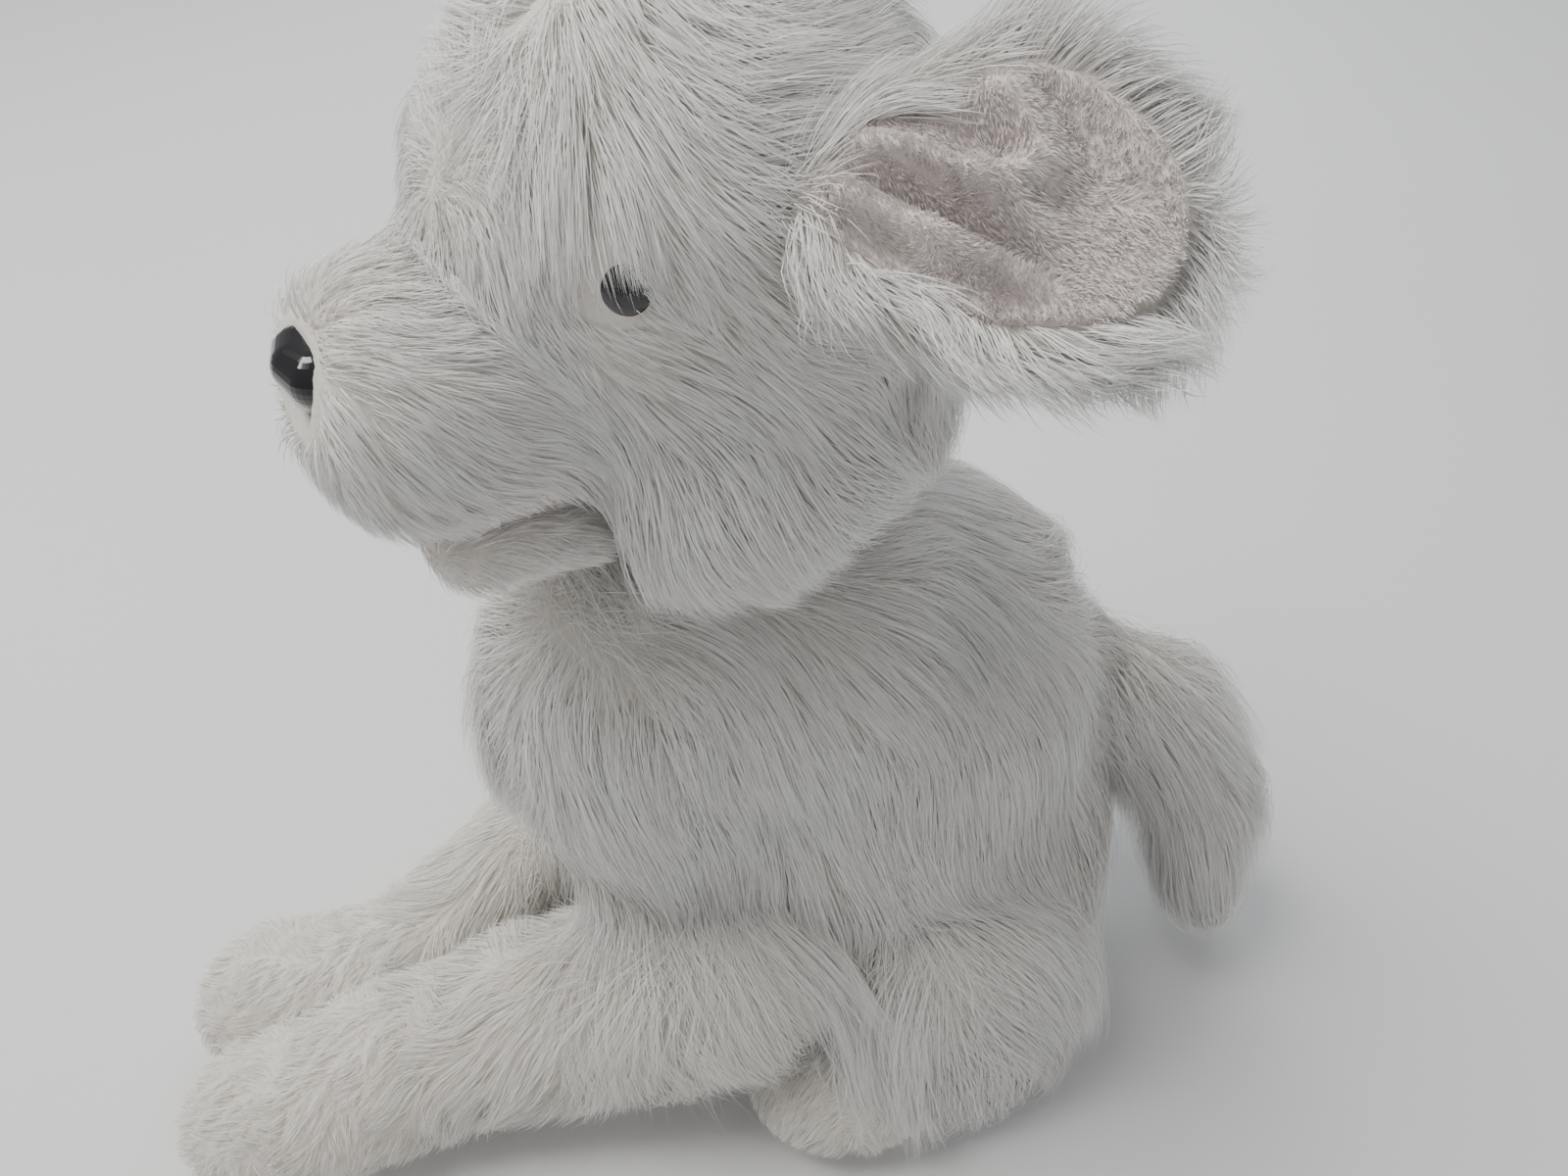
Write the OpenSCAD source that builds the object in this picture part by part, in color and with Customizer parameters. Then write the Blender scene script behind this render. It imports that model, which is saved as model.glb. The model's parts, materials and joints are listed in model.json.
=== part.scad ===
// Interactive plush pet: a furry puppy lying on its belly, looking to its left.
// Millimetres, +Z up, the puppy faces -Y and its left side is +X.

/* [Torso] */
// Width of the hard torso shell
shell_w = 68; // [66:1:70]
// Height of the top of the hard torso shell above the table
shell_top = 154; // [152:0.5:154]
// Wall of every hard shell
wall = 2.5; // [2:0.1:3]

/* [Head] */
// Height of the point that the head turns and nods about
pivot_z = 215; // [213:0.5:218]
// How far the head is turned to its left at rest, in degrees
head_turn = 21; // [0:1:25]
// Radius of the stuffed skull
cranium_r = 50; // [49:0.5:52]
// Radius of the ball under the head that sits in the shoulders
neck_ball_r = 38; // [36:0.5:38]
// Radius of each bead eye
eye_r = 7.5; // [6:0.5:8]

/* [Ears] */
// Length of the leaf of an ear
ear_length = 50; // [44:1:54]
// Thickness of the stuffed ear
ear_thick = 9; // [8:0.5:10]

/* [Legs] */
// Radius of the pad of a forepaw
paw_r = 21; // [19:0.5:21]
// Height of the shoulder axis
shoulder_z = 54; // [52:0.5:56]

/* [Tail] */
// Height of the tail's pivot
tail_z = 104; // [102:0.5:106]
// Radius of the stuffed tail at its root
tail_r = 13; // [11:0.5:13]

/* [Drive] */
// Gear module of the neck drive
gear_m = 0.8; // [0.8:0.1:0.8]
// Teeth on the neck's ring gear
neck_teeth = 36; // [36:1:36]
// Teeth on the motor's pinion
pinion_teeth = 18; // [18:1:18]

/* [Hidden] */
$fn = 48;

soft_fn = 28;          // facets of the stuffed shapes
run = 0.05;            // radial running clearance of a shaft
skin_gap = 0.3;        // clearance between stuffing and hard parts
big = 400;             // larger than the puppy, for cutting blocks

// Where the modelling origin sits from the middle of the finished puppy's box
centre_y = 20;
centre_x = 0;

// Torso shell
shell_front = 3;
shell_back = 100;
shell_bottom = 33;
shell_in = shell_w / 2 - wall;
neck_y = 22;
journal_r = 14;
button_y = 80;
board_y = 70;
board_t = 1.6;
screw_r = 1.5;
boss_r = 4.6;
torso_bosses = [[93, 40], [93, 146], [62, 146], [62, 40]];

// Battery tray
tray_bottom = 8;
tray_front = 26;
tray_back = 102;
tray_half = 32;
well_front = 42;
well_back = 100;
door_t = 2.4;
door_front = 40.2;
door_back = 100.8;
door_half = 30.8;
tab_half = 6.2;        // half width of the door's screw tab
cell_r = 7.1;
cell_pitch = 14.8;
cell_z = 18.5;
cell_front = 46.5;
cell_len = 50;
switch_x = 20;
switch_y = 33;
door_screw_y = 35.5;

// Motors
motor_r = 10;
tail_motor_r = 7.5;
tail_motor_y = 88;

// Neck drive
gear_z = shell_top - 10;
gear_t = 6;
gear_gap = 0.3;
backlash = 0.22;
addendum = 0.9;           // share of the module, short so that no tip reaches below a base circle
pinion_y = neck_y + gear_m * (neck_teeth + pinion_teeth) / 2 + gear_gap;

// Head, measured from its pivot
skull_r = 32;
skull_low = -12;
boss_end = 28;
jaw_boss_r = 4.5;
dome_z = 51;
jaw_axis = [0, -16, 9];
jaw_pin_r = 2;
axle_r = 3;
hub_r = 9;
post_r = 11;
hub_half = 18;
cranium = [0, 5, 57];
eye_dir = [0, -14, -41.2];
eye_reach = 46.5;
nose_z = 48;
nose_front = -81;
head_bosses = [[18, 45], [18, -5]];

// Ears, measured from the head's pivot
ear_root = [42, 3, 79];
ear_tilt = [33, -3.4, 43.8];
ear_dir = ear_root - [0, 0, dome_z];
ear_far = norm(ear_dir);
ear_az = atan2(ear_dir.y, ear_dir.x);
ear_polar = acos(ear_dir.z / ear_far);
spindle_r = 3;

// Legs
shoulder_y = 20;
shoulder_r = 5;
arm_r = 3.5;
elbow_r = 5;
seam_turn = 210;
left_leg = [[57, 18, 52, 22], [53, -45, 28, 20], [54, -100, 21, paw_r], [54, -131, 20, paw_r - 1]];
right_leg = [[-57, 18, 52, 22], [-26, -36, 30, 20], [12, -92, 21, paw_r], [12, -132, 20, paw_r - 1]];

// Tail
tail_y = 138;
tail_way = [[0, tail_y, tail_z, tail_r], [10, 164, 97, 12], [27, 179, 68, 12], [40, 182, 34, 10]];
fork_t = 3;

// ---- helpers ----

module place() {
    translate([-centre_x, -centre_y, 0]) children();
}

module head_place() {
    place() translate([0, neck_y, pivot_z]) rotate([0, 0, head_turn]) children();
}

module ear_place(side) {
    head_place() mirror([side < 0 ? 1 : 0, 0, 0]) children();
}

// Box given by its lowest and highest corners
module span(low, high) {
    translate(low) cube(high - low);
}

// Round bar from p to q
module rod(p, q, r) {
    d = q - p;
    translate(p) rotate([0, acos(d.z / norm(d)), atan2(d.y, d.x)]) cylinder(h = norm(d), r = r);
}

// Cylinder along +X whose flat ends are at x0 and x1
module along_x(x0, x1, r) {
    translate([x0, 0, 0]) rotate([0, 90, 0]) cylinder(h = x1 - x0, r = r);
}

// Cylinder along +Y whose flat ends are at y0 and y1
module along_y(y0, y1, r) {
    translate([0, y1, 0]) rotate([90, 0, 0]) cylinder(h = y1 - y0, r = r);
}

module ball(b, $fn = soft_fn) {
    translate([b[0], b[1], b[2]]) sphere(r = b[3]);
}

// Stuffed limb: a rounded tube through balls [x, y, z, radius]
module limb(balls) {
    for (i = [0 : len(balls) - 2]) {
        hull() {
            ball(balls[i]);
            ball(balls[i + 1]);
        }
    }
}

module above_table() {
    translate([-big / 2, -big / 2, 0]) cube([big, big, big]);
}

module rounded_plan(low, high, r) {
    span_x = high.x - low.x;
    span_y = high.y - low.y;
    translate([low.x, low.y + r]) square([span_x, span_y - 2 * r]);
    translate([low.x + r, low.y]) square([span_x - 2 * r, span_y]);
    for (x = [low.x + r, high.x - r], y = [low.y + r, high.y - r]) {
        translate([x, y]) circle(r = r);
    }
}

// Involute spur gear outline; a tooth points along +X when phase is 0
function inv_angle(rb, q) = q <= rb ? 0 : sqrt(pow(q / rb, 2) - 1) * 180 / PI - acos(rb / q);
function tooth_half(r, rb, teeth, q) =
    90 / teeth - backlash / (2 * r) * 180 / PI + inv_angle(rb, r) - inv_angle(rb, q);

module gear_plan(teeth, phase) {
    r = gear_m * teeth / 2;
    rb = r * cos(20);
    root = r - 1.25 * gear_m;
    tip = r + addendum * gear_m;
    steps = 5;
    qs = [for (k = [0 : steps]) root + (tip - root) * k / steps];
    up = [for (q = qs) [q, -tooth_half(r, rb, teeth, q)]];
    down = [for (k = [steps : -1 : 0]) [qs[k], tooth_half(r, rb, teeth, qs[k])]];
    flank = concat(up, down);
    polygon([for (i = [0 : teeth - 1], f = flank)
        let (a = phase + i * 360 / teeth + f[1]) f[0] * [cos(a), sin(a)]]);
}

// ---- torso, hard parts ----

module torso_case() {
    half = shell_w / 2;
    difference() {
        translate([0, 0, shell_bottom]) linear_extrude(shell_top - shell_bottom)
            rounded_plan([-half, shell_front], [half, shell_back], 8);
        translate([0, 0, shell_bottom + wall]) linear_extrude(shell_top - shell_bottom - 2 * wall)
            rounded_plan([-shell_in, shell_front + wall], [shell_in, shell_back - wall], 6);
        // neck journal, touch button stem and shoulder shafts
        translate([0, neck_y, shell_top - 10]) cylinder(h = 20, r = journal_r + run);
        translate([0, button_y, shell_top - 10]) cylinder(h = 20, r = 4 + run);
        translate([0, shoulder_y, shoulder_z]) along_x(-half - 1, half + 1, shoulder_r + run);
        // sound slots in front of the speaker
        for (k = [-2 : 2]) {
            span([-12, shell_front - 1, 107 + 6 * k], [12, shell_front + wall + 1, 109 + 6 * k]);
        }
    }
    // grooves that hold the circuit board
    for (s = [-1, 1], y = [board_y - 3.1, board_y + board_t + 0.1]) {
        translate([s > 0 ? 27.2 : -shell_in, y, 48]) cube([shell_in - 27.2, 3, 92]);
    }
    // cradles that hold the neck motor and the tail motor
    difference() {
        union() {
            span([-shell_in, 31, 112], [shell_in, 57, 115]);
            span([-shell_in, 80, 106], [shell_in, shell_back - wall, 109]);
        }
        translate([0, pinion_y, 95]) cylinder(h = 40, r = motor_r);
        translate([0, tail_motor_y, 85]) cylinder(h = 40, r = tail_motor_r);
    }
}

module torso_boss_plan(side) {
    reach = shell_in + 0.5;
    for (b = torso_bosses) {
        translate([0, b[0], b[1]]) along_x(side > 0 ? 0 : -reach, side > 0 ? reach : 0, boss_r);
    }
}

module torso_half(side) {
    difference() {
        intersection() {
            union() {
                torso_case();
                torso_boss_plan(side);
            }
            translate([side > 0 ? 0 : -big, -big / 2, 0]) cube([big, big, big]);
        }
        for (b = torso_bosses) {
            translate([0, b[0], b[1]]) {
                along_x(-12, shell_in - 1.5, side > 0 ? screw_r + 0.1 : screw_r);
                along_x(shell_in - 1.5, shell_w / 2 + 1, 3.2);
            }
        }
    }
}

module torso_shell_left() {
    color("gainsboro") place() torso_half(1);
}

module torso_shell_right() {
    color("gainsboro") place() torso_half(-1);
}

// Pan head screw along -X with its head's underside at x
module screw_x(x, length, r) {
    along_x(x - length, x, r);
    difference() {
        along_x(x, x + 2, 2 * r);
        translate([x + 1, 0, 0]) {
            span([0, -r, -0.3], [2, r, 0.3]);
            span([0, -0.3, -r], [2, 0.3, r]);
        }
    }
}

module torso_screws() {
    color("silver") place() for (b = torso_bosses) {
        translate([0, b[0], b[1]]) screw_x(shell_in - 1.5, shell_in + 10, screw_r);
    }
}

module battery_tray() {
    color("gainsboro") place() difference() {
        span([-tray_half, tray_front, tray_bottom], [tray_half, tray_back, shell_bottom]);
        // well for the cells and the rebate for the door
        span([-30, well_front, tray_bottom - 1], [30, well_back, 30.5]);
        span([-door_half - 0.2, door_front - 0.2, tray_bottom - 1],
            [door_half + 0.2, door_back + 0.2, tray_bottom + door_t + 0.2]);
        span([-tab_half - 0.2, 30, tray_bottom - 1],
            [tab_half + 0.2, door_front + 1, tray_bottom + door_t + 0.2]);
        translate([0, door_screw_y, 0]) cylinder(h = 24, r = screw_r + 0.1);
        // pocket and slot of the power switch
        span([switch_x - 8, switch_y - 4, 11], [switch_x + 8, switch_y + 4, 16]);
        span([switch_x - 4.5, switch_y - 2, tray_bottom - 1], [switch_x + 4.5, switch_y + 2, 12]);
    }
}

module battery_cells() {
    color("goldenrod") place() for (i = [0 : 3]) {
        flip = i % 2;
        translate([(i - 1.5) * cell_pitch, cell_front, cell_z]) {
            along_y(0, cell_len, cell_r);
            along_y(flip ? -1 : cell_len - 0.5, flip ? 0.5 : cell_len + 1, 2.6);
        }
    }
}

module battery_contacts() {
    color("silver") place() for (i = [0 : 3]) {
        flip = i % 2;
        back = cell_front + cell_len;
        translate([(i - 1.5) * cell_pitch, 0, cell_z]) {
            span([-6, well_front, -6], [6, well_front + 0.6, 6]);
            span([-6, well_back - 0.6, -6], [6, well_back, 6]);
            // a coil end presses on the flat end, a raised stud on the button end
            along_y(well_front + 0.5, flip ? cell_front - 1 : cell_front, flip ? 2 : 4);
            along_y(flip ? back : back + 1, well_back - 0.5, flip ? 4 : 2);
        }
    }
}

module circuit_board() {
    color("seagreen") place() {
        span([-27, board_y, 49], [27, board_y + board_t, 139]);
        for (k = [0 : 3]) {
            span([-20 + 10 * k, board_y - 6, 122], [-13 + 10 * k, board_y, 129]);
        }
        span([-9, board_y - 2, 84], [9, board_y, 102]);
        span([-20, board_y - 2, 62], [-8, board_y, 70]);
        translate([14, 0, 66]) along_y(board_y - 8, board_y, 4);
    }
}

module speaker() {
    color("dimgray") place() translate([0, 0, 108]) {
        along_y(shell_front + wall, shell_front + wall + 3, 18);
        along_y(shell_front + wall + 3, shell_front + wall + 8, 9);
    }
}

module neck_motor() {
    color("silver") place() translate([0, pinion_y, 0]) difference() {
        union() {
            translate([0, 0, gear_z - 40]) cylinder(h = 34, r = motor_r);
            translate([0, 0, gear_z - 6.5]) cylinder(h = 2.5, r = 5);
        }
        translate([0, 0, gear_z - 14]) cylinder(h = 11, r = screw_r + run);
    }
}

module tail_motor() {
    color("silver") place() translate([0, tail_motor_y, 0]) {
        translate([0, 0, 88]) cylinder(h = 26, r = tail_motor_r);
        translate([0, 0, 113.5]) cylinder(h = 4, r = 3);
    }
}

module tail_bracket() {
    color("gainsboro") place() difference() {
        union() {
            span([-12, shell_back, tail_z - 20], [12, shell_back + 3, tail_z + 20]);
            for (z = [tail_z - 15 - fork_t, tail_z + 15]) {
                span([-7, shell_back + 2, z], [7, tail_y, z + fork_t]);
                translate([0, tail_y, z]) cylinder(h = fork_t, r = 7);
            }
        }
        translate([0, tail_y, tail_z - 30]) cylinder(h = 60, r = axle_r + run);
    }
}

module battery_door() {
    color("white") place() difference() {
        union() {
            span([-door_half, door_front, tray_bottom], [door_half, door_back, tray_bottom + door_t]);
            span([-tab_half, 30.2, tray_bottom], [tab_half, door_front + 1, tray_bottom + door_t]);
        }
        translate([0, door_screw_y, 0]) cylinder(h = 20, r = screw_r + 0.2);
        // finger groove
        for (k = [0 : 3]) {
            span([-10, 86 + 3 * k, tray_bottom - 1], [10, 87.5 + 3 * k, tray_bottom + 0.7]);
        }
    }
}

module battery_door_screw() {
    color("silver") place() translate([0, door_screw_y, tray_bottom]) difference() {
        union() {
            cylinder(h = 12, r = screw_r);
            translate([0, 0, -2]) cylinder(h = 2, r = 2.8);
        }
        span([-1.8, -0.3, -3], [1.8, 0.3, -1]);
        span([-0.3, -1.8, -3], [0.3, 1.8, -1]);
    }
}

module power_switch_knob() {
    color("dimgray") place() translate([switch_x - 3, switch_y, 0]) {
        span([-4, -3.7, 11.1], [4, 3.7, 13]);
        span([-1.4, -1.9, 6.5], [2.6, 1.9, 11.2]);
    }
}

module back_touch_button() {
    color("dimgray") place() translate([0, button_y, 0]) {
        translate([0, 0, shell_top + 2.4]) cylinder(h = 3, r = 12);
        translate([0, 0, shell_top - 6]) cylinder(h = 9, r = 4);
        translate([0, 0, shell_top - 6]) cylinder(h = 2, r = 6);
    }
}

module neck_turntable() {
    color("whitesmoke") place() difference() {
        translate([0, neck_y, 0]) {
            translate([0, 0, gear_z]) linear_extrude(gear_t)
                gear_plan(neck_teeth, 90 - 180 / neck_teeth);
            translate([0, 0, gear_z + gear_t - 0.5]) cylinder(h = 6, r = journal_r);
            translate([0, 0, shell_top + 0.3]) cylinder(h = 3, r = 17);
            translate([0, 0, shell_top + 3]) cylinder(h = pivot_z - shell_top - 3, r = post_r);
            translate([0, 0, pivot_z]) rotate([0, 0, head_turn]) {
                along_x(-hub_half, hub_half, hub_r);
                along_x(-hub_half - 11, hub_half + 11, axle_r);
            }
        }
        // wires to the head run up through the post
        translate([0, neck_y, gear_z - 1]) cylinder(h = 50, r = 5);
    }
}

module neck_pinion() {
    color("gold") place() translate([0, pinion_y, 0]) {
        translate([0, 0, gear_z]) linear_extrude(gear_t) gear_plan(pinion_teeth, -90);
        translate([0, 0, gear_z - 12]) cylinder(h = gear_t + 12.8, r = screw_r);
    }
}

// ---- torso, stuffed parts ----

module torso_form() {
    hull() {
        ball([0, 24, 142, 44]);
        ball([0, 9, 156, 34]);
        for (s = [-1, 1]) {
            ball([12 * s, 0, 122, 37]);
            ball([36 * s, 44, 17, 18]);
            ball([36 * s, 122, 17, 18]);
        }
        ball([0, 64, 150, 45]);
        for (s = [-1, 1]) {
            ball([13 * s, 68, 142, 38]);
            ball([10 * s, 98, 104, 44]);
        }
        ball([0, 90, 54, 54]);
    }
}

module torso_plush() {
    half = shell_w / 2 + skin_gap;
    color("ivory") place() difference() {
        intersection() {
            torso_form();
            above_table();
        }
        span([-half, shell_front - skin_gap, shell_bottom],
            [half, shell_back + skin_gap, shell_top + skin_gap]);
        span([-tray_half - 1, tray_front - 1, -1], [tray_half + 1, tray_back + 1, shell_bottom + 1]);
        // room for the forelegs beside the shell and below the chest
        for (s = [-1, 1]) {
            translate([s > 0 ? half : -half - 100, -60, -1]) cube([100, 106, 85]);
        }
        span([-100, -100, -1], [100, 0, 92]);
        // the neck's flange, the shoulders' bowl, the touch button and the tail
        translate([0, neck_y, shell_top]) cylinder(h = 40, r = 18);
        translate([0, neck_y, pivot_z]) sphere(r = neck_ball_r + 2);
        translate([0, button_y, shell_top]) cylinder(h = 7, r = 13);
        span([-12.5, shell_back, tail_z - 20.5], [12.5, shell_back + 3.5, tail_z + 20.5]);
        span([-7.5, shell_back, tail_z - 20.5], [7.5, shell_back + 60, tail_z + 20.5]);
        translate([0, tail_y, tail_z]) sphere(r = tail_r + 3.5);
        translate([0, tail_y + 22, tail_z - 4]) sphere(r = 32);
    }
}

module hind_leg(side) {
    place() mirror([side < 0 ? 1 : 0, 0, 0]) intersection() {
        union() {
            hull() {
                ball([70, 64, 22, 14]);
                ball([70, 110, 20, 14]);
                ball([69, 102, 60, 13]);
                ball([69, 76, 56, 13]);
            }
            limb([[78, 46, 21, 22], [76, 68, 18, 18], [70, 92, 17, 14.4]]);
        }
        above_table();
    }
}

module hind_leg_left() {
    color("ivory") hind_leg(1);
}

module hind_leg_right() {
    color("ivory") hind_leg(-1);
}

// ---- forelegs ----

function point(b) = [b[0], b[1], b[2]];

// The arm's rods from the shoulder to the paw; grow widens them for the room around them
module arm_rods(leg, grow) {
    side = sign(leg[0][0]);
    hub = [38 * side, shoulder_y, shoulder_z];
    way = concat([hub], [for (i = [0 : 2]) point(leg[i])]);
    for (i = [1 : 3]) {
        rod(way[i - 1], way[i], arm_r + grow);
        // each ball is turned so that its seam lies clear of the rods
        translate(way[i]) rotate([0, 0, side > 0 ? 0 : seam_turn]) sphere(r = elbow_r + grow);
    }
}

module foreleg_arm(leg) {
    side = sign(leg[0][0]);
    place() {
        translate([0, shoulder_y, shoulder_z]) mirror([side < 0 ? 1 : 0, 0, 0]) {
            along_x(shell_in - 3.2, shell_in - 0.4, 7);
            along_x(shell_in - 1, shell_w / 2 + 2, shoulder_r);
            along_x(shell_w / 2 + 0.5, shell_w / 2 + 6, 12);
        }
        arm_rods(leg, 0);
    }
}

module foreleg_plush(leg) {
    side = sign(leg[0][0]);
    outer = shell_w / 2 + 1.5;
    place() difference() {
        intersection() {
            limb(leg);
            above_table();
        }
        // flat where the leg meets the torso shell, and the room for its arm
        translate([side > 0 ? -big + outer : -outer, shoulder_y - 28, 0]) cube([big, big, big]);
        translate([0, shoulder_y, shoulder_z]) mirror([side < 0 ? 1 : 0, 0, 0])
            along_x(0, shell_w / 2 + 6.3, 12.3);
        arm_rods(leg, skin_gap);
    }
}

module foreleg_left_arm() {
    color("gainsboro") foreleg_arm(left_leg);
}

module foreleg_left_plush() {
    color("ivory") foreleg_plush(left_leg);
}

module foreleg_right_arm() {
    color("gainsboro") foreleg_arm(right_leg);
}

module foreleg_right_plush() {
    color("ivory") foreleg_plush(right_leg);
}

// ---- tail ----

module tail_rods(grow) {
    translate([0, tail_y, tail_z - 19 - grow]) cylinder(h = 38 + 2 * grow, r = axle_r + grow);
    for (i = [0 : 1]) {
        rod(point(tail_way[i]), point(tail_way[i + 1]), 3.5 + grow);
        translate(point(tail_way[i + 1])) sphere(r = 4 + grow);
    }
}

module tail_core() {
    color("gainsboro") place() tail_rods(0);
}

module tail_plush() {
    color("ivory") place() difference() {
        limb(tail_way);
        tail_rods(skin_gap);
    }
}

// ---- head, hard parts, in the head's own frame ----

// seam is the side on which the surfaces start and end
module skull_form(r, seam = 0) {
    rotate([0, 0, seam]) {
        translate([0, 0, skull_low]) cylinder(h = dome_z - skull_low, r = r);
        translate([0, 0, dome_z]) sphere(r = r);
    }
}

// bosses for the screws that join the halves and for the jaw's hinge pin
module skull_bosses(grow) {
    for (b = head_bosses)
        translate([0, b[0], b[1]]) along_x(-boss_end - grow, boss_end + grow, boss_r + grow);
    for (s = [-1, 1]) mirror([s < 0 ? 1 : 0, 0, 0])
        translate(jaw_axis) along_x(17.2, boss_end + grow, jaw_boss_r + grow);
}

module ear_axis() {
    translate([0, 0, dome_z]) rotate([0, ear_polar, ear_az]) children();
}

module skull_case(seam) {
    difference() {
        union() {
            difference() {
                union() {
                    skull_form(skull_r, seam);
                    span([-15, -56, 17], [15, -20, 45]);
                }
                translate([0, 0, -1]) skull_form(skull_r - wall, seam);
                span([-12.5, -53.5, 19.5], [12.5, 0, 42.5]);
                translate([0, 0, skull_low - 1]) cylinder(h = 5, r = skull_r - wall);
                // mouth: the jaw's arms reach in here
                span([-26, -60, skull_low - 1], [26, -8, 14.5]);
            }
            for (s = [-1, 1]) mirror([s < 0 ? 1 : 0, 0, 0]) {
                along_x(20, 30, 7);
                ear_axis() translate([0, 0, 27.2]) cylinder(h = 4.3, r = 6);
            }
            skull_bosses(0);
        }
        along_x(-40, 40, axle_r + run);
        translate(jaw_axis) along_x(-26, 26, jaw_pin_r);
        for (s = [-1, 1]) mirror([s < 0 ? 1 : 0, 0, 0]) {
            ear_axis() translate([0, 0, 20]) cylinder(h = 20, r = spindle_r + run);
        }
    }
}

module skull_half(side) {
    difference() {
        intersection() {
            skull_case(side > 0 ? 180 : 0);
            translate([side > 0 ? 0 : -big, -big / 2, -big / 2]) cube([big, big, big]);
        }
        for (b = head_bosses) translate([0, b[0], b[1]]) {
            along_x(-12, 21, side > 0 ? 1.6 : screw_r);
            along_x(21, 40, 3.2);
        }
    }
}

module skull_left() {
    color("gainsboro") head_place() skull_half(1);
}

module skull_right() {
    color("gainsboro") head_place() skull_half(-1);
}

module head_screws() {
    color("silver") head_place() for (b = head_bosses) {
        translate([0, b[0], b[1]]) screw_x(21, 31, screw_r);
    }
}

module jaw_motor() {
    color("silver") head_place() translate([0, 2, 35]) {
        along_x(-12, 12, 8);
        along_x(12, 18, 2);
    }
}

module jaw_hinge_pin() {
    color("silver") head_place() translate(jaw_axis) along_x(-25.8, 25.8, jaw_pin_r);
}

module nose() {
    color("black") head_place() {
        hull() {
            for (s = [-1, 1]) translate([4 * s, nose_front + 7, nose_z + 1]) sphere(r = 6, $fn = 32);
            translate([0, nose_front + 7, nose_z - 3]) sphere(r = 5.5, $fn = 32);
            translate([0, nose_front + 5, nose_z + 2]) sphere(r = 5, $fn = 32);
        }
        // stem that plugs into the muzzle and the web that joins it to the nose
        translate([0, 0, nose_z - 10]) along_y(nose_front + 9.5, -56.2, 2.5);
        span([-2.5, nose_front + 9, nose_z - 10], [2.5, nose_front + 11.5, nose_z]);
    }
}

module eye(side) {
    head_place() mirror([side < 0 ? 1 : 0, 0, 0]) translate(cranium) rotate(eye_dir) {
        translate([eye_reach, 0, 0]) sphere(r = eye_r);
        along_x(eye_reach - 12.8, eye_reach, 2.4);
        along_x(eye_reach - 12.5, eye_reach - 11, 7);
    }
}

module eye_left() {
    color("black") eye(1);
}

module eye_right() {
    color("black") eye(-1);
}

module mouth_lining() {
    color("maroon") head_place() translate([0, 0, 12.7]) linear_extrude(1.5)
        rounded_plan([-14, -60], [14, -20], 12);
}

// ---- head, stuffed parts ----

module head_form() {
    hull() {
        ball([cranium.x, cranium.y, cranium.z, cranium_r]);
        ball([0, 0, 0, neck_ball_r]);
        for (s = [-1, 1]) ball([22 * s, 4, 24, 28]);
    }
    hull() {
        for (s = [-1, 1]) {
            ball([10 * s, -54, 30.5, 15.5]);
            ball([9 * s, -54, 45, 14]);
        }
        ball([0, -12, 42, 28]);
    }
}

module head_plush() {
    color("ivory") head_place() difference() {
        head_form();
        skull_form(skull_r + skin_gap);
        translate([0, 0, -6]) skull_form(skull_r + skin_gap);
        skull_bosses(skin_gap);
        span([-15.3, -56.3, 16.7], [15.3, -20, 45.3]);
        // the mouth with room for the jaw, and the neck's post
        span([-25, -80, -50], [25, -9, 14.4]);
        translate([0, 0, -41]) cylinder(h = 31, r1 = 23, r2 = 16);
        // the nose and its stem
        translate([0, 0, nose_z]) along_y(-90, nose_front + 13.4, 14);
        translate([0, 0, nose_z - 10]) along_y(-76, -54, 2.8);
        span([-3, -76, nose_z - 10.5], [3, nose_front + 13, nose_z]);
        for (s = [-1, 1]) mirror([s < 0 ? 1 : 0, 0, 0]) {
            translate(cranium) rotate(eye_dir) {
                translate([eye_reach, 0, 0]) sphere(r = eye_r + 0.2);
                along_x(eye_reach - 15, eye_reach, 2.7);
                along_x(eye_reach - 12.8, eye_reach - 10.7, 7.3);
            }
            ear_axis() translate([0, 0, 28]) cylinder(h = 30, r = spindle_r + 0.6);
            translate(ear_root) sphere(r = 10);
        }
    }
}

// ---- jaw ----

module jaw_arm_plan() {
    translate([jaw_axis.y, jaw_axis.z]) circle(r = 4);
    polygon([[-13, 6.4], [-18.6, 12], [-38, 0], [-38, -4], [-28, -4]]);
}

module jaw_frame() {
    color("gainsboro") head_place() {
        span([-16.4, -50, -4], [16.4, -29, -1.5]);
        for (s = [-1, 1]) mirror([s < 0 ? 1 : 0, 0, 0]) difference() {
            translate([14, 0, 0]) rotate([90, 0, 90]) linear_extrude(2.4) jaw_arm_plan();
            translate(jaw_axis) along_x(10, 20, jaw_pin_r + run);
        }
    }
}

module jaw_plush() {
    color("ivory") head_place() difference() {
        hull() for (s = [-1, 1]) {
            ball([12 * s, -47, -2, 9]);
            ball([13 * s, -32, -2, 9]);
        }
        span([-30, -70, 6], [30, 0, 20]);
        span([-16.7, -50.3, -4.3], [16.7, -28.7, -1.2]);
        for (s = [-1, 1]) mirror([s < 0 ? 1 : 0, 0, 0]) {
            span([13.7, -38.3, -4.3], [16.7, -10, 20]);
        }
    }
}

module tongue() {
    color("tomato") head_place() translate([0, 0, 6.2]) linear_extrude(3.4)
        rounded_plan([-9, -55], [9, -30], 8.8);
}

// ---- ears ----

module leaf_plan(grow) {
    hull() {
        translate([25, 0]) circle(r = 12 + grow, $fn = 32);
        translate([37, 0]) circle(r = 25 + grow, $fn = 48);
        translate([ear_length - 1, -3]) circle(r = 14 + grow, $fn = 32);
    }
}

module ear_leaf_place(side) {
    ear_place(side) translate(ear_root) rotate(ear_tilt) children();
}

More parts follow.
